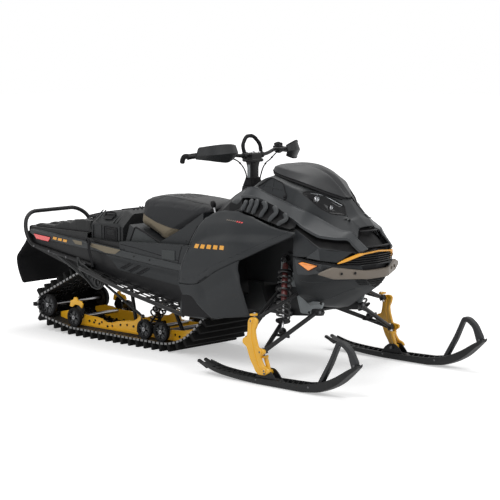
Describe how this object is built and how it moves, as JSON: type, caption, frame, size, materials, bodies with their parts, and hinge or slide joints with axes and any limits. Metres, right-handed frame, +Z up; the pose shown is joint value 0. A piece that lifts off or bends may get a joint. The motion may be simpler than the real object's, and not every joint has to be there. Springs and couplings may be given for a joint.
{
  "type": "wide-track utility snowmobile",
  "caption": "Wide-track utility snowmobile with a rear load deck, storage box, padded seat, low wind deflector, hand guards and two steered skis.",
  "frame": {"origin": "on the floor below the middle of the machine's bounding box", "axes": "+X towards the ski tips, +Y to the rider's left, +Z up"},
  "size_m": [3.227, 1.202, 1.3506],
  "materials": {
    "charcoal": "satin",
    "black_plastic": "moulded",
    "rail_grey": "satin",
    "shield_grey": "smooth",
    "taupe": "moulded",
    "seat_cover": "grained",
    "yellow_metal": "powder coated",
    "orange_trim": "gloss",
    "amber": "clear",
    "red_lens": "clear",
    "lamp_glass": "clear",
    "track_rubber": "moulded",
    "rubber": "matt",
    "black_metal": "powder coated",
    "cast_grey": "cast",
    "steel": "machined",
    "engine_grey": "cast"
  },
  "bodies": {
    "chassis": {"track": "track_rubber", "idler_wheels": "black_plastic", "skid_shafts": "steel", "slide_rails": "yellow_metal", "skid_arms": "black_metal", "skid_shock": "steel", "drive_axle": "black_plastic", "tunnel": "black_metal", "running_boards": "black_metal", "strakes": "black_plastic", "rear_deck": "black_plastic", "rear_hoop": "black_metal", "snow_flap": "rubber", "taillights": "red_lens", "hitch": "black_metal", "storage_module": "black_plastic", "seat": "seat_cover", "tank_cover": "charcoal", "console": "black_plastic", "engine_block": "engine_grey", "hood": "charcoal", "nose_trim": "orange_trim", "nose_grille": "black_plastic", "marker_lamps": "amber", "belly_pan": "black_plastic", "headlights": "lamp_glass", "side_panels": "charcoal", "lower_panels": "charcoal", "toe_panels": "black_plastic", "windshield": "shield_grey", "louvres": "black_plastic", "front_bumper": "taupe", "front_frame": "cast_grey", "lower_arms": "black_metal", "upper_arms": "black_metal", "front_shocks": "black_metal", "front_springs": "black_metal", "gear_lever": "black_plastic"},
    "steering": {"riser": "cast_grey", "handlebar": "black_metal", "grips": "rubber", "centre_strap": "rubber", "hand_guards": "black_plastic", "control_pods": "black_plastic", "control_cables": "rubber"},
    "spindle_left": {"spindle_left": "yellow_metal", "ski_left": "black_plastic"},
    "spindle_right": {"spindle_right": "yellow_metal", "ski_right": "black_plastic"},
    "tie_rod_left": {"tie_rod_left": "black_metal"},
    "tie_rod_right": {"tie_rod_right": "black_metal"}
  },
  "joints": [
    {"name": "steering", "type": "hinge", "parent": "chassis", "child": "steering", "pos_m": [0.296, 0, 1.2], "axis": [0, 0, 1], "range_deg": [-32, 32]},
    {"name": "kingpin_left", "type": "hinge", "parent": "chassis", "child": "spindle_left", "pos_m": [0.911, 0.551, 0.187], "axis": [-0.347, 0, 0.9379], "range_deg": [-30, 30]},
    {"name": "kingpin_right", "type": "hinge", "parent": "chassis", "child": "spindle_right", "pos_m": [0.911, -0.551, 0.187], "axis": [-0.347, 0, 0.9379], "range_deg": [-30, 30]},
    {"name": "tie_rod_left", "type": "slide", "parent": "chassis", "child": "tie_rod_left", "axis": [0, -1, 0], "range_m": [-0.047, 0.047]},
    {"name": "tie_rod_right", "type": "slide", "parent": "chassis", "child": "tie_rod_right", "axis": [0, -1, 0], "range_m": [-0.047, 0.047]}
  ],
  "couplings": [
    {"joint": "kingpin_left", "follows": "steering", "ratio": 0.9},
    {"joint": "kingpin_right", "follows": "steering", "ratio": 0.9},
    {"joint": "tie_rod_left", "follows": "steering", "m_per_rad": 0.08194},
    {"joint": "tie_rod_right", "follows": "steering", "m_per_rad": 0.08194}
  ]
}
